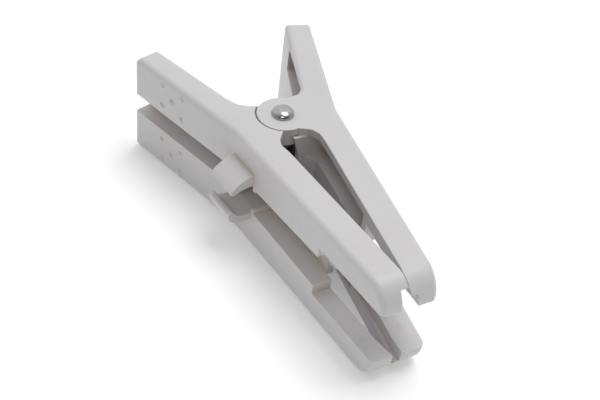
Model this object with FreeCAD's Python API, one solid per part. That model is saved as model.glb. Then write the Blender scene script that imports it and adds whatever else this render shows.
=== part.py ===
import FreeCAD, Part
import math, os

V = FreeCAD.Vector
os.makedirs("parts", exist_ok=True)

# ---------------------------------------------------------------- driving sizes (mm)
HALF_WIDTH = 10.1        # half of the clip's width, measured along the hinge pin
ORIGIN_X = 9.4           # hinge axis sits this far behind the middle of the clip's length

HANDLE_OUT = (-23.70, -17.66)   # handle end, outer corner
HANDLE_IN = (-25.10, -13.04)    # handle end, inner corner
HANDLE_SLOPE = math.tan(math.radians(19.52))   # inner face of the handle against the closing plane
BEND_OUT = (1.43, -9.84)        # where the handle bends into the jaw, outer side
BEND_R = 9.0
TIP_OUT = (43.45, -4.90)        # jaw tip, outer corner
TIP_X = 43.65                   # jaw tip, front face
TIP_TOUCH = -0.03               # inner land of the jaw tip, just short of the closing plane
TIP_IN = 1.3                     # eased inner corner of the jaw tip, in three flats
TIP_LAND = 3.4                  # length of the flat land at the tip
JAW_SLOPE = 0.1108              # inner face of the jaw against the closing plane
TIP_END_R = 4.4                 # rounded front corners of the jaw, seen from its outer face
EDGE_R = 1.1                    # long outer edges
INNER_EDGE_R = 0.14              # long inner edges

SKIN = 1.5               # thickness of the side plates and the outer walls
WEB = 1.4                # thickness of the web between the two arms
GROOVE_H = (-1.75, 2.15)        # groove in the handle, low and high side
GROOVE_M0 = (-2.55, 2.70)       # groove behind the cable clip
GROOVE_M1 = (-3.20, 3.55)       # groove at the jaw window
WINDOW = (-5.10, 5.50)          # jaw window, low and high side
WINDOW_X = 27.2                 # rear end of the jaw window
RABBET_DEEP = 1.45              # stepped seat beside the window, upper arms
RABBET_DEEP_LOW = 1.85          # front lever's lower arm, where the seat runs right through
RABBET_DEEP_REAR = 0.65         # rear lever's lower arm
RABBET_WIDE = (3.3, 2.2)         # width of the seat beside the window: front lever's upper arm, then the other arms
RECESS = (4.15, 8.6)            # hollow on the inner side, between web and side plate
RECESS_X = (-18.7, 25.8)
PLATE_BACK = 0.6         # how far the side plate's edge falls back towards the hinge, rear handle

EAR_R = 4.5              # outer ears, on the rear lever
EAR_GAP = 0.32           # around the ear, in the front lever's seat
EAR_TOP = 1.5            # thickness of the upper ear
EAR_BOTTOM = 2.0         # thickness of the lower ear
BOSS_R = 4.3             # inner ears, on the front lever
BOSS_T = 1.9
FACE_GAP = 0.1           # between outer and inner ears
PIN_R = 1.30
PIN_CLEAR = 0.05
HEAD_R = 1.98
HEAD_H = 1.15
TAIL_R = 2.15
TAIL_H = 0.65
COUNTERBORE_R = 2.5
COUNTERBORE_D = 0.9

WIRE = 0.75              # spring wire diameter
COIL_R = 2.55            # mean radius of the coil
COIL_TURNS = 13
LEG_REACH = 12.6         # distance from the hinge axis to the leg's end

CLIP_X = (2.0, 8.4)      # cable clip, rear and front end along the lever
DOME_R = 0.62
DOME_H = 0.36

# ---------------------------------------------------------------- helpers
def unit(a):
    n = math.hypot(a[0], a[1])
    return (a[0] / n, a[1] / n)

def rounded_wire(points, z):
    """Closed wire through (x, y, r) points, with an arc of radius r at each corner."""
    n = len(points)
    starts, ends, mids = [], [], []
    for i in range(n):
        x, y, r = points[i]
        px, py, _ = points[i - 1]
        nx, ny, _ = points[(i + 1) % n]
        a = unit((px - x, py - y))
        b = unit((nx - x, ny - y))
        cosang = max(-1.0, min(1.0, a[0] * b[0] + a[1] * b[1]))
        ang = math.acos(cosang)
        if r <= 1e-6 or abs(math.pi - ang) < 1e-4:
            starts.append((x, y)); ends.append((x, y)); mids.append(None)
            continue
        t = r / math.tan(ang / 2)
        s = (x + a[0] * t, y + a[1] * t)
        e = (x + b[0] * t, y + b[1] * t)
        m = unit((a[0] + b[0], a[1] + b[1]))
        d = r / math.sin(ang / 2)
        c = (x + m[0] * d, y + m[1] * d)
        starts.append(s); ends.append(e); mids.append((c[0] - m[0] * r, c[1] - m[1] * r))
    edges = []
    for i in range(n):
        if mids[i] is not None:
            edges.append(Part.Arc(V(starts[i][0], starts[i][1], z), V(mids[i][0], mids[i][1], z), V(ends[i][0], ends[i][1], z)).toShape())
        j = (i + 1) % n
        if math.hypot(ends[i][0] - starts[j][0], ends[i][1] - starts[j][1]) > 1e-5:
            edges.append(Part.makeLine(V(ends[i][0], ends[i][1], z), V(starts[j][0], starts[j][1], z)))
    return Part.Wire(edges)

def prism(points, z0, z1):
    pts = [p if len(p) == 3 else (p[0], p[1], 0.0) for p in points]
    return Part.Face(rounded_wire(pts, z0)).extrude(V(0, 0, z1 - z0))

def disc(r, z0, z1, x=0.0, y=0.0):
    return Part.makeCylinder(r, z1 - z0, V(x, y, z0), V(0, 0, 1))

def outer_y(x):
    """Outer face of the front lever."""
    if x > BEND_OUT[0]:
        k = (TIP_OUT[1] - BEND_OUT[1]) / (TIP_OUT[0] - BEND_OUT[0])
    else:
        k = (HANDLE_OUT[1] - BEND_OUT[1]) / (HANDLE_OUT[0] - BEND_OUT[0])
    return BEND_OUT[1] + k * (x - BEND_OUT[0])

def handle_in_y(x):
    return HANDLE_IN[1] + (x - HANDLE_IN[0]) * HANDLE_SLOPE

def jaw_in_y(x):
    return TIP_TOUCH - max(0.0, (TIP_X - TIP_LAND) - x) * JAW_SLOPE

def mirrored(points):
    return [(p[0], -p[1]) + tuple(p[2:]) for p in points]

def flip(shape, yes):
    return shape.mirror(V(0, 0, 0), V(0, 1, 0)) if yes else shape

def fillet(shape, radius, pick):
    edges = [e for e in shape.Edges if pick(e)]
    if not edges:
        return shape
    try:
        out = shape.makeFillet(radius, edges)
        if out.isValid() and out.Volume > 0.5 * shape.Volume:
            return out
    except Exception:
        pass
    for e in edges:                      # fall back to one edge at a time
        mid = e.valueAt((e.FirstParameter + e.LastParameter) / 2)
        near = [k for k in shape.Edges if (k.valueAt((k.FirstParameter + k.LastParameter) / 2) - mid).Length < 0.05]
        if not near:
            continue
        try:
            out = shape.makeFillet(radius, near)
            if out.isValid():
                shape = out
        except Exception:
            pass
    return shape

def at_side(e):
    b = e.BoundBox
    return b.ZLength < 1e-4 and abs(abs(b.ZMin) - HALF_WIDTH) < 1e-4

def mid_of(e):
    return e.valueAt((e.FirstParameter + e.LastParameter) / 2)

# ---------------------------------------------------------------- lever blank
def blank(near_pivot):
    """Outline of a lever, front lever side (y below the closing plane)."""
    land_x = TIP_X - TIP_LAND
    pts = [
        (HANDLE_OUT[0], HANDLE_OUT[1], 0.3),
        (BEND_OUT[0], BEND_OUT[1], BEND_R),
        (TIP_X, outer_y(TIP_X), 0.0),
        (TIP_X, TIP_TOUCH - TIP_IN, 0.0),
        (TIP_X - TIP_IN * 0.15, TIP_TOUCH - TIP_IN * 0.55, 0.0),
        (TIP_X - TIP_IN * 0.50, TIP_TOUCH - TIP_IN * 0.17, 0.0),
        (TIP_X - TIP_IN, TIP_TOUCH, 0.0),
        (land_x, TIP_TOUCH, 4.0),
        (9.6, jaw_in_y(9.6), 1.2),
    ] + near_pivot + [(HANDLE_IN[0], HANDLE_IN[1], 0.3)]
    s = prism(pts, -HALF_WIDTH, HALF_WIDTH)
    # front corners of the jaw, rounded in the plane of its outer face
    r, h, x = TIP_END_R, HALF_WIDTH, TIP_X
    k = r * (1 - math.sqrt(0.5))
    y = -30.0
    side = [
        Part.makeLine(V(-60, y, -h), V(x - r, y, -h)),
        Part.Arc(V(x - r, y, -h), V(x - k, y, -h + k), V(x, y, -h + r)).toShape(),
        Part.makeLine(V(x, y, -h + r), V(x, y, h - r)),
        Part.Arc(V(x, y, h - r), V(x - k, y, h - k), V(x - r, y, h)).toShape(),
        Part.makeLine(V(x - r, y, h), V(-60, y, h)),
        Part.makeLine(V(-60, y, h), V(-60, y, -h)),
    ]
    s = s.common(Part.Face(Part.Wire(side)).extrude(V(0, 60, 0)))
    # edges round the outer face, then the handle's end, then the inner edges
    def jaw_chain(e):
        m = mid_of(e)
        on_outer = abs(m.y - outer_y(m.x)) < 0.35
        return on_outer and (at_side(e) or m.x > TIP_X - TIP_END_R - 0.1)
    s = fillet(s, EDGE_R, jaw_chain)
    s = fillet(s, 0.22, lambda e: at_side(e) and mid_of(e).x < -22.5)
    s = fillet(s, INNER_EDGE_R, lambda e: at_side(e) and mid_of(e).y > outer_y(mid_of(e).x) + 1.0 and 11 < mid_of(e).x < 40.4)
    s = fillet(s, INNER_EDGE_R, lambda e: at_side(e) and mid_of(e).y > outer_y(mid_of(e).x) + 1.0 and -22 < mid_of(e).x < -8)
    return s

def groove_floor(x0, x1):
    """Web's outer face as points from x0 to x1."""
    table = [
        (-30.0, handle_in_y(-30.0) - WEB * 1.06),
        (-7.0, handle_in_y(-7.0) - WEB * 1.06),
        (-3.2, -5.75),
        (3.0, -5.35),
        (9.6, jaw_in_y(9.6) - WEB),
        (30.0, jaw_in_y(30.0) - WEB),
    ]
    def y_at(x):
        for (a, ya), (b, yb) in zip(table, table[1:]):
            if a <= x <= b:
                return ya + (yb - ya) * (x - a) / (b - a)
        return table[-1][1]
    inner = [(x, y) for x, y in table if x0 + 1e-6 < x < x1 - 1e-6]
    return [(x0, y_at(x0))] + inner + [(x1, y_at(x1))]

def groove(x0, x1, low, high):
    top = groove_floor(x0, x1)
    pts = top + [(x1, -25.0), (x0, -25.0)]
    return prism(pts, low, high)

def tapered_groove(x0, x1, a, b):
    """Groove whose two sides spread from a at x0 to b at x1."""
    body = groove(x0, x1, -9.0, 9.0)
    y0, y1 = -25.0, 5.0
    pts = [V(x0 - 0.01, y0, a[0]), V(x1 + 0.01, y0, b[0]), V(x1 + 0.01, y0, b[1]), V(x0 - 0.01, y0, a[1])]
    wedge = Part.Face(Part.makePolygon(pts + [pts[0]])).extrude(V(0, y1 - y0, 0))
    return body.common(wedge)

def recess(z0, z1):
    """Hollow on the inner side of a lever between the web and a side plate."""
    x0, x1 = RECESS_X
    pts = [
        (x0, outer_y(x0) + SKIN * 1.05, 0.6),
        (BEND_OUT[0], BEND_OUT[1] + SKIN, 6.0),
        (x1, outer_y(x1) + SKIN, 0.6),
        (x1, 4.0, 0.0),
        (x0, 4.0, 0.0),
    ]
    return prism(pts, z0, z1)

def lever_common(body, seat_wide, through):
    """Cuts that both levers share."""
    body = body.cut(tapered_groove(9.0, WINDOW_X + 0.4, GROOVE_M0, GROOVE_M1))
    # jaw window, open at the tip, with a stepped seat on its inner side
    body = body.cut(prism([(WINDOW_X, -12), (60, -12), (60, 6), (WINDOW_X, 6)], WINDOW[0], WINDOW[1]))
    seats = [(WINDOW_X, RABBET_DEEP, 0.0, WINDOW[1] + seat_wide)]
    if not through:
        seats.append((WINDOW_X, RABBET_DEEP_REAR, WINDOW[0] - RABBET_WIDE[1], 0.0))
    for x0, deep, z0, z1 in seats:
        seat = [(x0, jaw_in_y(x0) - deep), (TIP_X - TIP_LAND, TIP_TOUCH - deep), (60, TIP_TOUCH - deep), (60, 6), (x0, 6)]
        body = body.cut(prism(seat, z0, z1))
    if through:
        # the lower arm is set back over its whole height, and so is the end wall of the hollow behind it
        x0, x1 = 25.0, 39.4
        seat = [(x0, jaw_in_y(WINDOW_X) - RABBET_DEEP_LOW - 0.2), (x1, jaw_in_y(x1) - RABBET_DEEP_LOW), (TIP_X + 0.4, -0.95), (60, -0.95), (60, 6), (x0, 6)]
        body = body.cut(prism(seat, -HALF_WIDTH - 1, -1.1))
    for sgn in (1, -1):
        z = sorted((sgn * RECESS[0], sgn * RECESS[1]))
        body = body.cut(recess(z[0], z[1]))
    return body

def grip_domes(body):
    """Five small domes on each half of the handle's outer face."""
    d = unit((BEND_OUT[0] - HANDLE_OUT[0], BEND_OUT[1] - HANDLE_OUT[1]))
    n = (d[1], -d[0])                       # outward normal
    for zc in (6.12, -6.12):
        for ds, dz in ((0, 0), (-2.63, -2.21), (-2.63, 2.21), (2.63, -2.21), (2.63, 2.21)):
            s = 10.0 + ds
            sink = DOME_R - DOME_H
            x = HANDLE_OUT[0] + d[0] * s - n[0] * sink
            y = HANDLE_OUT[1] + d[1] * s - n[1] * sink
            body = body.fuse(Part.makeSphere(DOME_R, V(x, y, zc + dz)))
    return body

def seat_bumps(body):
    """Low round bumps in the jaw window that hold the sensor head."""
    for z, sgn in ((WINDOW[0], 1), (WINDOW[1], -1)):
        for x, rad, high in ((36.3, 1.1, 0.16), (38.6, 0.9, 0.2)):
            y = (outer_y(x) + 0.4 + jaw_in_y(x) - RABBET_DEEP_LOW) / 2
            big = (rad * rad + high * high) / (2 * high)
            body = body.fuse(Part.makeSphere(big, V(x, y, z - sgn * (big - high))).common(Part.makeBox(3, 3, 0.8, V(x - 1.5, y - 1.5, z - 0.4))))
    return body

def finger(points):
    """One finger of the cable clip: (outward, z) section, extruded along the jaw's outer face."""
    d = unit((TIP_OUT[0] - BEND_OUT[0], TIP_OUT[1] - BEND_OUT[1]))
    n = (d[1], -d[0])
    x0 = CLIP_X[0]
    o = (x0, outer_y(x0))
    w = [V(o[0] + n[0] * a, o[1] + n[1] * a, z) for a, z in points]
    f = Part.Face(Part.makePolygon(w + [w[0]]))
    length = (CLIP_X[1] - CLIP_X[0]) / d[0]
    return f.extrude(V(d[0] * length, d[1] * length, 0))

# ---------------------------------------------------------------- front lever
boss_top = HALF_WIDTH - EAR_TOP - FACE_GAP
boss_low = -HALF_WIDTH + EAR_BOTTOM + FACE_GAP

front = blank([
    (7.4, -3.90, 1.0), (6.0, -3.45, 0.8), (3.9, -1.7, 0.0),
    (-3.9, -2.0, 0.0), (-4.55, -4.2, 0.8), (-5.6, -5.75, 1.2), (-7.6, handle_in_y(-7.6), 2.5),
])
front = lever_common(front, RABBET_WIDE[0], True)
front = front.cut(groove(-40.0, 9.05, GROOVE_H[0], GROOVE_H[1]))
# wider pocket under the cable clip, open through the web
front = front.cut(prism([(CLIP_X[0] + 0.1, -15), (CLIP_X[1] - 0.1, -15), (CLIP_X[1] - 0.1, -3.9), (CLIP_X[0] + 0.1, -4.2)], -3.3, 3.45))
# seats for the rear lever's ears, and the space for the coil
front = front.cut(disc(EAR_R + EAR_GAP, boss_top, HALF_WIDTH + 1, -0.08, 0.0))
front = front.cut(disc(EAR_R + EAR_GAP, -HALF_WIDTH - 1, boss_low))
front = front.cut(disc(COIL_R + WIRE / 2 + 0.45, -HALF_WIDTH, HALF_WIDTH))
# inner ears with their necks
for z0, z1 in ((boss_top - BOSS_T, boss_top), (boss_low, boss_low + BOSS_T)):
    neck = prism([(-5.2, -9.6), (8.2, -8.2), (7.2, -4.0), (5.6, -3.4), (3.8, -1.9), (-3.6, -2.2), (-4.4, -4.4)], z0, z1)
    front = front.fuse(neck.fuse(disc(BOSS_R, z0, z1)))
front = front.cut(disc(PIN_R + PIN_CLEAR, -HALF_WIDTH, HALF_WIDTH))

upper_finger = [(-1.0, 3.45), (0.0, 3.45), (1.3, 3.42), (2.6, 3.18), (3.6, 2.85), (4.0, 2.72), (4.3, 2.85), (4.38, 3.15), (4.2, 3.6), (3.6, 4.22), (2.6, 4.9), (1.5, 5.4), (0.6, 5.66), (-1.0, 5.78)]
lower_finger = [(-1.0, -2.75), (0.0, -2.75), (1.6, -2.72), (2.6, -2.5), (3.15, -2.1), (3.4, -1.6), (3.55, -1.35), (3.85, -1.2), (4.35, -1.25), (4.6, -1.5), (4.62, -2.1), (4.3, -2.95), (3.6, -3.6), (2.5, -4.0), (1.2, -4.12), (-1.0, -4.15)]
for f in (upper_finger, lower_finger):
    front = front.fuse(finger(f))
front = grip_domes(front)
front = seat_bumps(front)
front = front.removeSplitter()

# ---------------------------------------------------------------- rear lever
rear = blank([
    (7.0, -3.55, 1.2), (5.4, -2.7, 1.0), (4.55, -0.9, 0.0),
    (-4.42, -0.9, 0.0), (-4.45, -3.3, 1.2), (-4.75, -5.3, 0.5), (-5.8, -6.45, 0.8), (-6.6, handle_in_y(-6.6), 0.5),
])
rear = lever_common(rear, RABBET_WIDE[1], False)
rear = rear.cut(groove(-40.0, 9.05, GROOVE_H[0], GROOVE_H[1]))
rear = rear.fuse(disc(EAR_R, HALF_WIDTH - EAR_TOP, HALF_WIDTH))
rear = rear.fuse(disc(EAR_R, -HALF_WIDTH, -HALF_WIDTH + EAR_BOTTOM))
# room for the front lever's inner ears and for the coil
rear = rear.cut(disc(BOSS_R + 0.3, -HALF_WIDTH + EAR_BOTTOM, HALF_WIDTH - EAR_TOP))
# side plates fall back a little along the hollow of the handle
for z0, z1 in ((RECESS[1] - 0.2, HALF_WIDTH + 1), (-HALF_WIDTH - 1, -RECESS[1] + 0.2)):
    x0, x1 = RECESS_X[0] + 0.4, -5.6
    rear = rear.cut(prism([(x0, handle_in_y(x0) + 0.5), (x0, handle_in_y(x0)), (x0 + 0.5, handle_in_y(x0 + 0.5) - 0.16, 0.3),
                           (-6.3, handle_in_y(-6.3) - PLATE_BACK, 0.9), (x1 + 0.45, -5.9), (x1 + 0.9, -5.2), (x1, -4.0)], z0, z1))
# gussets under the ears: a plate across the lever with a slanting free edge
for top, low in ((HALF_WIDTH - EAR_TOP, 3.0), (-HALF_WIDTH + EAR_BOTTOM, -3.0)):
    sgn = 1 if top > 0 else -1
    w = [V(4.62, 0.2, top), V(4.62, -7.6, top), V(4.62, -7.6, low), V(4.62, -4.0, low - sgn * 1.0), V(4.62, -2.0, low - sgn * 0.9), V(4.62, -1.2, low + sgn * 0.5)]
    g = Part.Face(Part.makePolygon(w + [w[0]])).extrude(V(0.62, 0, 0))
    rear = rear.fuse(g.cut(disc(BOSS_R + 0.3, -HALF_WIDTH, HALF_WIDTH)))
rear = rear.cut(disc(PIN_R + PIN_CLEAR, -HALF_WIDTH - 1, HALF_WIDTH + 1))
rear = rear.cut(disc(COUNTERBORE_R, -HALF_WIDTH - 1, -HALF_WIDTH + COUNTERBORE_D))
rear = seat_bumps(rear)
rear = rear.removeSplitter()
rear = flip(rear, True)

# ---------------------------------------------------------------- rivet
base = HALF_WIDTH + 0.02
dome = Part.BSplineCurve()
dome.interpolate([V(HEAD_R, 0, base + 0.10), V(HEAD_R * 0.975, 0, base + HEAD_H * 0.36), V(HEAD_R * 0.82, 0, base + HEAD_H * 0.70), V(HEAD_R * 0.48, 0, base + HEAD_H * 0.94), V(0, 0, base + HEAD_H)])
head_face = Part.Face(Part.Wire([
    Part.makeLine(V(0, 0, base), V(HEAD_R - 0.08, 0, base)),
    Part.makeLine(V(HEAD_R - 0.08, 0, base), V(HEAD_R, 0, base + 0.10)),
    dome.toShape(),
    Part.makeLine(V(0, 0, base + HEAD_H), V(0, 0, base)),
]))
head = head_face.revolve(V(0, 0, 0), V(0, 0, 1), 360)
tail_top = -HALF_WIDTH + COUNTERBORE_D - 0.02
tail = disc(TAIL_R, tail_top - TAIL_H, tail_top)
tail = tail.makeChamfer(0.25, [e for e in tail.Edges if abs(e.BoundBox.ZMax - (tail_top - TAIL_H)) < 1e-4 and e.BoundBox.ZLength < 1e-4])
rivet = disc(PIN_R, tail_top - 0.3, base + 0.3).fuse(head).fuse(tail).removeSplitter()

# ---------------------------------------------------------------- torsion spring
z_hi = boss_top - BOSS_T - 0.12 - WIRE / 2
z_lo = boss_low + BOSS_T + 0.12 + WIRE / 2
pitch = WIRE * 1.12
coil_len = pitch * COIL_TURNS
zc = (z_hi + z_lo) / 2
z_lo, z_hi = zc - coil_len / 2, zc + coil_len / 2
# legs leave the coil along tangents and rest on the outer walls of the two handles
def leg_end(side):
    x = -13.0
    y = outer_y(x) + SKIN * 1.05 + WIRE / 2 + 0.12
    return (x, y * side)
def tangent_angle(end, turn):
    """Angle on the coil where a tangent, running in the given sense, points at end."""
    d = math.hypot(end[0], end[1])
    a = math.atan2(end[1], end[0])
    return a - turn * math.acos(COIL_R / d)
end_a = leg_end(1)       # front lever, y negative
end_b = leg_end(-1)      # rear lever, y positive
a0 = tangent_angle(end_a, -1)
a1 = tangent_angle(end_b, 1)
turns = COIL_TURNS + ((a1 - a0) / (2 * math.pi)) % 1.0
pitch = (z_hi - z_lo) / turns
slope = pitch / (2 * math.pi * COIL_R)
coil = Part.makeHelix(pitch, pitch * turns, COIL_R)
coil.rotate(V(0, 0, 0), V(0, 0, 1), math.degrees(a0))
coil.translate(V(0, 0, z_lo))
# the legs carry the coil's own lead angle, so each one runs on smoothly from its end turn
def leg_line(angle, z, end, sense):
    start = V(COIL_R * math.cos(angle), COIL_R * math.sin(angle), z)
    along = V(-math.sin(angle), math.cos(angle), slope) * sense
    reach = math.hypot(end[0] - start.x, end[1] - start.y)
    return start, start + along * reach
start_a, tip_a = leg_line(a0, z_lo, end_a, -1)
start_b, tip_b = leg_line(a1, z_hi, end_b, 1)
path = Part.Wire([Part.makeLine(tip_a, start_a)] + coil.Edges + [Part.makeLine(start_b, tip_b)])
section = Part.Wire([Part.makeCircle(WIRE / 2, tip_a, start_a - tip_a)])
spring = path.makePipeShell([section], True, False)

# ---------------------------------------------------------------- write the nodes
MOVE = V(-ORIGIN_X, 0, HALF_WIDTH)
for name, shape in (("front_lever", front), ("rear_lever", rear), ("pivot_rivet", rivet), ("torsion_spring", spring)):
    if len(shape.Solids) == 1:
        shape = shape.Solids[0]
    shape = shape.copy()
    shape.translate(MOVE)
    b = shape.BoundBox
    print(name, "valid", shape.isValid(), "solids", len(shape.Solids), "vol %.1f" % shape.Volume,
          "box %.2f %.2f %.2f / %.2f %.2f %.2f" % (b.XMin, b.YMin, b.ZMin, b.XMax, b.YMax, b.ZMax))
    shape.exportStep("parts/%s.step" % name)
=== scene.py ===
import bpy, bmesh, math
from mathutils import Vector, Matrix


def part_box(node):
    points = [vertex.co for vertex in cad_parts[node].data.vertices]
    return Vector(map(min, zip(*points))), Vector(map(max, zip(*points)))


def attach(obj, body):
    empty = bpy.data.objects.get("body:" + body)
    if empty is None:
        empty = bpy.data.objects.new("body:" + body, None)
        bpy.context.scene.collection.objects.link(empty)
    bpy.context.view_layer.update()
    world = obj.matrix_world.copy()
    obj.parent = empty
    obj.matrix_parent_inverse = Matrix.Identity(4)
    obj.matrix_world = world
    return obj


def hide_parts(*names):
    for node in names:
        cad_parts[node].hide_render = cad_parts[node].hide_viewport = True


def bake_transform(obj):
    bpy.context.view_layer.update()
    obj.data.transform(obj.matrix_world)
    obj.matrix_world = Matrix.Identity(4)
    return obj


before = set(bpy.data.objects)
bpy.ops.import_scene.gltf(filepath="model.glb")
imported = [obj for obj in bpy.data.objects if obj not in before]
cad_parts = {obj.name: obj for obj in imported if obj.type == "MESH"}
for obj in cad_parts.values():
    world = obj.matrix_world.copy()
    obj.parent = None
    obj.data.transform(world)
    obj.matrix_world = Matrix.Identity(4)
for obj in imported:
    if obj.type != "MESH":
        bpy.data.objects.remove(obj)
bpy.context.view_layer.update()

# ------------------------------------------------------------------ materials
def new_material(name):
    m = bpy.data.materials.new(name)
    m.use_nodes = True
    nt = m.node_tree
    nt.nodes.clear()
    out = nt.nodes.new("ShaderNodeOutputMaterial")
    bsdf = nt.nodes.new("ShaderNodeBsdfPrincipled")
    nt.links.new(bsdf.outputs[0], out.inputs[0])
    return m, nt, bsdf

def noise(nt, coord, scale, detail=2.0, rough=0.5):
    n = nt.nodes.new("ShaderNodeTexNoise")
    n.inputs["Scale"].default_value = scale
    n.inputs["Detail"].default_value = detail
    n.inputs["Roughness"].default_value = rough
    nt.links.new(coord, n.inputs["Vector"])
    return n

def ramp(nt, fac, stops):
    r = nt.nodes.new("ShaderNodeValToRGB")
    while len(r.color_ramp.elements) < len(stops):
        r.color_ramp.elements.new(0.5)
    for e, (p, c) in zip(r.color_ramp.elements, stops):
        e.position = p
        e.color = c
    nt.links.new(fac, r.inputs[0])
    return r

def mix_rgb(nt, fac, a, b):
    m = nt.nodes.new("ShaderNodeMix")
    m.data_type = "RGBA"
    nt.links.new(fac, m.inputs[0])
    if isinstance(a, tuple):
        m.inputs[6].default_value = a
    else:
        nt.links.new(a, m.inputs[6])
    if isinstance(b, tuple):
        m.inputs[7].default_value = b
    else:
        nt.links.new(b, m.inputs[7])
    return m.outputs[2]

def plastic():
    """Satin pale grey ABS: almost even in colour, with a painted warm shade in the hollows and a fine moulded
    grain.
    """
    m, nt, b = new_material("moulded_plastic")
    tc = nt.nodes.new("ShaderNodeTexCoord")
    obj = tc.outputs["Object"]
    broad = noise(nt, obj, 55.0, 3.0)
    mid = noise(nt, obj, 700.0, 4.0, 0.6)
    fine = noise(nt, obj, 5200.0, 2.0)
    tone = ramp(nt, broad.outputs["Fac"], [(0.30, (0.590, 0.579, 0.588, 1)), (0.70, (0.618, 0.608, 0.618, 1))])
    speck = ramp(nt, mid.outputs["Fac"], [(0.35, (0.0, 0.0, 0.0, 1)), (0.75, (0.22, 0.22, 0.22, 1))])
    tint = mix_rgb(nt, speck.outputs[0], tone.outputs[0], (0.570, 0.553, 0.550, 1))
    # painted shade: hollows and inside corners, found by ambient occlusion, get a warm tint that stands in for
    # light bounced about in shade
    ao = nt.nodes.new("ShaderNodeAmbientOcclusion")
    ao.samples = 8
    ao.only_local = True
    ao.inputs["Distance"].default_value = 0.0035
    painted_hollow_shade = ramp(nt, ao.outputs["AO"], [(0.20, (1.0, 1.0, 1.0, 1)), (0.97, (0.0, 0.0, 0.0, 1))])
    base = mix_rgb(nt, painted_hollow_shade.outputs[0], tint, (0.640, 0.570, 0.475, 1))
    nt.links.new(base, b.inputs["Base Color"])
    rough = ramp(nt, mid.outputs["Fac"], [(0.3, (0.34, 0.34, 0.34, 1)), (0.7, (0.43, 0.43, 0.43, 1))])
    nt.links.new(rough.outputs[0], b.inputs["Roughness"])
    both = nt.nodes.new("ShaderNodeMath")
    both.operation = "ADD"
    nt.links.new(fine.outputs["Fac"], both.inputs[0])
    nt.links.new(mid.outputs["Fac"], both.inputs[1])
    bump = nt.nodes.new("ShaderNodeBump")
    bump.inputs["Strength"].default_value = 0.12
    bump.inputs["Distance"].default_value = 0.00003
    nt.links.new(both.outputs[0], bump.inputs["Height"])
    nt.links.new(bump.outputs[0], b.inputs["Normal"])
    b.inputs["Subsurface Weight"].default_value = 0.12
    b.inputs["Subsurface Radius"].default_value = (0.0012, 0.0009, 0.0007)
    b.inputs["Subsurface Scale"].default_value = 1.0
    b.inputs["IOR"].default_value = 1.48
    return m

def nickel():
    """Bright plated rivet with faint tumbling marks."""
    m, nt, b = new_material("nickel_rivet")
    tc = nt.nodes.new("ShaderNodeTexCoord")
    n = noise(nt, tc.outputs["Object"], 1400.0, 4.0, 0.6)
    col = ramp(nt, n.outputs["Fac"], [(0.3, (0.40, 0.40, 0.41, 1)), (0.7, (0.52, 0.52, 0.53, 1))])
    nt.links.new(col.outputs[0], b.inputs["Base Color"])
    r = ramp(nt, n.outputs["Fac"], [(0.3, (0.08, 0.08, 0.08, 1)), (0.7, (0.16, 0.16, 0.16, 1))])
    nt.links.new(r.outputs[0], b.inputs["Roughness"])
    bump = nt.nodes.new("ShaderNodeBump")
    bump.inputs["Strength"].default_value = 0.05
    bump.inputs["Distance"].default_value = 0.00002
    nt.links.new(n.outputs["Fac"], bump.inputs["Height"])
    nt.links.new(bump.outputs[0], b.inputs["Normal"])
    b.inputs["Metallic"].default_value = 1.0
    return m

def steel():
    """Drawn spring wire, dark with an oil film."""
    m, nt, b = new_material("spring_wire")
    tc = nt.nodes.new("ShaderNodeTexCoord")
    n = noise(nt, tc.outputs["Object"], 1800.0, 4.0, 0.6)
    col = ramp(nt, n.outputs["Fac"], [(0.3, (0.20, 0.20, 0.205, 1)), (0.7, (0.34, 0.335, 0.335, 1))])
    nt.links.new(col.outputs[0], b.inputs["Base Color"])
    r = ramp(nt, n.outputs["Fac"], [(0.3, (0.18, 0.18, 0.18, 1)), (0.7, (0.30, 0.30, 0.30, 1))])
    nt.links.new(r.outputs[0], b.inputs["Roughness"])
    b.inputs["Metallic"].default_value = 1.0
    return m

PLASTIC, NICKEL, STEEL = plastic(), nickel(), steel()

def assign(obj, mat):
    for s in obj.material_slots:
        s.material = mat
    if not obj.material_slots:
        obj.data.materials.append(mat)

def node_object(name):
    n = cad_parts[name]
    return n if hasattr(n, "data") else bpy.data.objects[name]

def moulded(name, new_name, edge, mat, body):
    """Finer copy of a lever: flat faces merged, every moulded edge broken by a small radius, clean normals."""
    src = node_object(name)
    mesh = bpy.data.meshes.new(new_name)
    bm = bmesh.new()
    bm.from_mesh(src.data)
    bmesh.ops.remove_doubles(bm, verts=bm.verts, dist=2e-6)
    bmesh.ops.dissolve_limit(bm, angle_limit=math.radians(0.4), verts=bm.verts, edges=bm.edges, delimit={"NORMAL"})
    bmesh.ops.dissolve_degenerate(bm, dist=3e-6, edges=bm.edges)
    bmesh.ops.recalc_face_normals(bm, faces=bm.faces)
    bm.to_mesh(mesh)
    bm.free()
    obj = bpy.data.objects.new(new_name, mesh)
    bpy.context.scene.collection.objects.link(obj)
    bev = obj.modifiers.new("edge", "BEVEL")
    bev.width = edge
    bev.segments = 2
    bev.limit_method = "ANGLE"
    bev.angle_limit = math.radians(28)
    bev.use_clamp_overlap = True
    bev.miter_outer = "MITER_ARC"
    dg = bpy.context.evaluated_depsgraph_get()
    baked = bpy.data.meshes.new_from_object(obj.evaluated_get(dg))
    baked.name = new_name + "_mesh"
    obj.modifiers.clear()
    obj.data = baked
    bm = bmesh.new()
    bm.from_mesh(baked)
    bmesh.ops.triangulate(bm, faces=[f for f in bm.faces if len(f.verts) > 4])
    bm.to_mesh(baked)
    bm.free()
    for p in baked.polygons:
        p.use_smooth = True
    baked.set_sharp_from_angle(angle=math.radians(50))
    wn = obj.modifiers.new("normals", "WEIGHTED_NORMAL")
    wn.mode = "FACE_AREA"
    wn.keep_sharp = True
    wn.weight = 100
    assign(obj, mat)
    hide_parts(name)
    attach(obj, body)
    return obj

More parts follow.
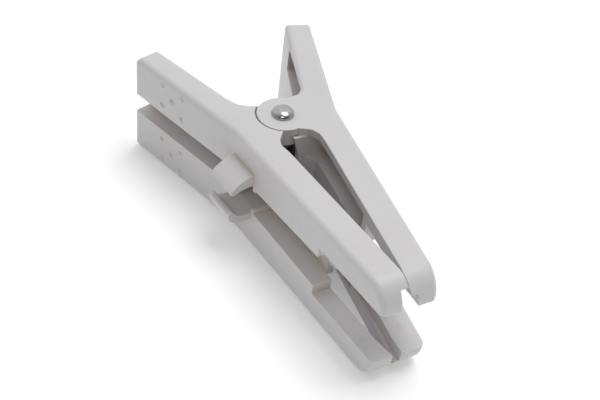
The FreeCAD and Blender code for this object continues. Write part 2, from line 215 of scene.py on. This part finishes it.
front = moulded("front_lever", "front_moulding", 0.00010, PLASTIC, "front")
rear = moulded("rear_lever", "rear_moulding", 0.00010, PLASTIC, "rear")
# ------------------------------------------------------------------ rivet, a turned and headed pin
def turned(name, profile, segments=96):
    """A solid of revolution about the pivot axis. profile is (radius, height) from the bottom centre to the top centre."""
    verts, faces = [], []
    def ring(r, z):
        if r < 1e-9:
            verts.append((PIVOT[0], PIVOT[1], z))
            return [len(verts) - 1]
        start = len(verts)
        for k in range(segments):
            w = 2 * math.pi * k / segments
            verts.append((PIVOT[0] + r * math.cos(w), PIVOT[1] + r * math.sin(w), z))
        return list(range(start, start + segments))
    rings = [ring(r, z) for r, z in profile]
    for r0, r1 in zip(rings, rings[1:]):
        for k in range(segments):
            j = (k + 1) % segments
            if len(r0) == 1:
                faces.append((r0[0], r1[j], r1[k]))
            elif len(r1) == 1:
                faces.append((r0[k], r0[j], r1[0]))
            else:
                faces.append((r0[k], r0[j], r1[j], r1[k]))
    mesh = bpy.data.meshes.new(name)
    mesh.from_pydata(verts, [], faces)
    for p in mesh.polygons:
        p.use_smooth = True
    mesh.set_sharp_from_angle(angle=math.radians(38))
    obj = bpy.data.objects.new(name, mesh)
    bpy.context.scene.collection.objects.link(obj)
    return obj

PIVOT = (-0.0094, 0.0)
rivet_low, rivet_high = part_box("pivot_rivet")
mm = 0.001
seat = rivet_high.z - 1.15 * mm          # underside of the head
foot = rivet_low.z                       # outer face of the set tail
profile = [(0.0, foot), (1.82 * mm, foot), (1.93 * mm, foot + 0.03 * mm), (2.13 * mm, foot + 0.23 * mm),
           (2.15 * mm, foot + 0.29 * mm), (2.15 * mm, foot + 0.50 * mm), (1.30 * mm, foot + 0.55 * mm),
           (1.30 * mm, seat), (1.86 * mm, seat), (1.95 * mm, seat + 0.03 * mm)]
head = [(1.98, 0.12), (1.972, 0.24), (1.93, 0.40), (1.84, 0.56), (1.70, 0.71), (1.50, 0.845), (1.24, 0.96),
        (0.94, 1.05), (0.62, 1.108), (0.30, 1.14), (0.0, 1.149)]
profile += [(r * mm, seat + z * mm) for r, z in head]
rivet = turned("rivet_turned", profile)
bm = bmesh.new()
bm.from_mesh(rivet.data)
bmesh.ops.recalc_face_normals(bm, faces=bm.faces)
bm.to_mesh(rivet.data)
bm.free()
assign(rivet, NICKEL)
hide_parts("pivot_rivet")
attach(rivet, "front")

# ------------------------------------------------------------------ spring, wound round the pivot
WIRE_R = 0.000375
COIL_R = 0.00255
TURN_A, TURN_B = -0.9578614, 0.9578614
TURNS = 13.304897
Z_LOW, Z_HIGH = 0.0101 - 0.00521, 0.0101 + 0.00571
LEAD = 0.05122608

def spring_path():
    """Centre line from one leg's tip, down the tangent, round the coil and out along the other leg."""
    def on_coil(angle, z):
        return Vector((PIVOT[0] + COIL_R * math.cos(angle), PIVOT[1] + COIL_R * math.sin(angle), z))
    def leg(angle, z, tip_y, sense):
        start = on_coil(angle, z)
        along = Vector((-math.sin(angle), math.cos(angle), LEAD)) * sense
        tip = Vector((PIVOT[0] - 0.0130, tip_y))
        reach = (tip - Vector((start.x, start.y))).length
        return [start + along * (reach * i / 16) for i in range(1, 17)]
    pts = list(reversed(leg(TURN_A, Z_LOW, -0.01226035, -1)))
    steps = int(TURNS * 40)
    for i in range(steps + 1):
        t = i / steps
        pts.append(on_coil(TURN_A + TURNS * 2 * math.pi * t, Z_LOW + (Z_HIGH - Z_LOW) * t))
    pts += leg(TURN_B, Z_HIGH, 0.01226035, 1)
    return pts

def tube(name, pts, radius, sides=20, chamfer=0.00006):
    """A round wire along pts, with its two cut ends slightly broken."""
    verts, faces, rings = [], [], []
    tangents = []
    for i in range(len(pts)):
        tangents.append((pts[min(i + 1, len(pts) - 1)] - pts[max(i - 1, 0)]).normalized())
    u = tangents[0].orthogonal().normalized()
    stations = []
    for i, p in enumerate(pts):
        t = tangents[i]
        u = (u - t * u.dot(t)).normalized()
        stations.append((p, t, u.copy(), t.cross(u)))
    first, last = stations[0], stations[-1]
    plan = [(first[0], first, radius - chamfer), (first[0] + first[1] * chamfer, first, radius)]
    plan += [(s[0], s, radius) for s in stations[1:-1]]
    plan += [(last[0] - last[1] * chamfer, last, radius), (last[0], last, radius - chamfer)]
    for centre, (p, t, a, b), r in plan:
        ring = []
        for k in range(sides):
            w = 2 * math.pi * k / sides
            verts.append(centre + a * (r * math.cos(w)) + b * (r * math.sin(w)))
            ring.append(len(verts) - 1)
        rings.append(ring)
    for r0, r1 in zip(rings, rings[1:]):
        for k in range(sides):
            faces.append((r0[k], r0[(k + 1) % sides], r1[(k + 1) % sides], r1[k]))
    faces.append(tuple(reversed(rings[0])))
    faces.append(tuple(rings[-1]))
    mesh = bpy.data.meshes.new(name)
    mesh.from_pydata([tuple(v) for v in verts], [], faces)
    for p in mesh.polygons:
        p.use_smooth = True
    mesh.set_sharp_from_angle(angle=math.radians(30))
    obj = bpy.data.objects.new(name, mesh)
    bpy.context.scene.collection.objects.link(obj)
    return obj

wire = tube("spring_wire_coil", spring_path(), WIRE_R)
bm = bmesh.new()
bm.from_mesh(wire.data)
bmesh.ops.recalc_face_normals(bm, faces=bm.faces)
bm.to_mesh(wire.data)
bm.free()
assign(wire, STEEL)
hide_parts("torsion_spring")
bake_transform(wire)

# ------------------------------------------------------------------ stage
mesh = bpy.data.meshes.new("floor")
bm = bmesh.new()
bmesh.ops.create_grid(bm, x_segments=1, y_segments=1, size=1.5)
bm.to_mesh(mesh); bm.free()
floor = bpy.data.objects.new("floor", mesh)
bpy.context.scene.collection.objects.link(floor)
m, nt, b = new_material("table")
tc = nt.nodes.new("ShaderNodeTexCoord")
n = noise(nt, tc.outputs["Object"], 8.0)
col = ramp(nt, n.outputs["Fac"], [(0.3, (0.955, 0.955, 0.955, 1)), (0.7, (0.965, 0.965, 0.965, 1))])
nt.links.new(col.outputs[0], b.inputs["Base Color"])
b.inputs["Roughness"].default_value = 0.9
b.inputs["Specular IOR Level"].default_value = 0.1
b.inputs["Emission Color"].default_value = (1.0, 1.0, 1.0, 1)
b.inputs["Emission Strength"].default_value = 0.13
floor.data.materials.append(m)

# ------------------------------------------------------------------ light
world = bpy.data.worlds.new("studio")
bpy.context.scene.world = world
world.use_nodes = True
wt = world.node_tree
bg = wt.nodes["Background"]
wc = wt.nodes.new("ShaderNodeTexCoord")
sep = wt.nodes.new("ShaderNodeSeparateXYZ")
wt.links.new(wc.outputs["Generated"], sep.inputs[0])
sky = wt.nodes.new("ShaderNodeValToRGB")
for e, (p, c) in zip(sky.color_ramp.elements, [(0.0, 0.55), (1.0, 0.93)]):
    e.position = p
    e.color = (c, c, c, 1)
wt.links.new(sep.outputs[2], sky.inputs[0])
side = wt.nodes.new("ShaderNodeVectorMath")
side.operation = "DOT_PRODUCT"
side.inputs[1].default_value = (-0.80, 0.36, 0.0)
wt.links.new(wc.outputs["Generated"], side.inputs[0])
lift = wt.nodes.new("ShaderNodeMath")
lift.operation = "ADD"
lift.inputs[1].default_value = 1.0
wt.links.new(side.outputs["Value"], lift.inputs[0])
total = wt.nodes.new("ShaderNodeMath")
total.operation = "MULTIPLY"
wt.links.new(sky.outputs[0], total.inputs[0])
wt.links.new(lift.outputs[0], total.inputs[1])
strength = wt.nodes.new("ShaderNodeMath")
strength.operation = "MULTIPLY"
strength.inputs[1].default_value = 0.70
wt.links.new(total.outputs[0], strength.inputs[0])
wt.links.new(strength.outputs[0], bg.inputs[1])
bg.inputs[0].default_value = (1.0, 1.0, 1.0, 1)

def area(name, loc, target, size, power, color=(1, 1, 1)):
    ld = bpy.data.lights.new(name, "AREA")
    ld.shape = "RECTANGLE"
    ld.size, ld.size_y = size
    ld.energy = power
    ld.color = color
    o = bpy.data.objects.new(name, ld)
    bpy.context.scene.collection.objects.link(o)
    o.location = loc
    d = Vector(target) - Vector(loc)
    o.rotation_euler = d.to_track_quat("-Z", "Y").to_euler()
    return o

area("key", (-0.05, 0.22, 0.80), (0.0, 0.0, 0.01), (0.46, 0.38), 2.75)
area("front", (0.40, -0.24, 0.45), (0.0, 0.0, 0.01), (0.22, 0.22), 0.50)

# ------------------------------------------------------------------ camera
CAM_LOC = (0.117083, -0.073970, 0.133574)
RIGHT = Vector((0.453796, 0.885732, 0.097712))
UP = Vector((-0.633211, 0.243367, 0.734722))
BACK = Vector((0.626987, -0.395286, 0.671295))
cam_data = bpy.data.cameras.new("camera")
cam_data.sensor_fit = "HORIZONTAL"
cam_data.sensor_width = 36.0
cam_data.lens = 64.54
cam_data.clip_start = 0.01
cam_data.clip_end = 10.0
cam = bpy.data.objects.new("camera", cam_data)
bpy.context.scene.collection.objects.link(cam)
M = Matrix((
    (RIGHT.x, UP.x, BACK.x, CAM_LOC[0]),
    (RIGHT.y, UP.y, BACK.y, CAM_LOC[1]),
    (RIGHT.z, UP.z, BACK.z, CAM_LOC[2]),
    (0, 0, 0, 1)))
cam.matrix_world = M
bpy.context.scene.camera = cam

bpy.context.scene.view_settings.view_transform = "Standard"
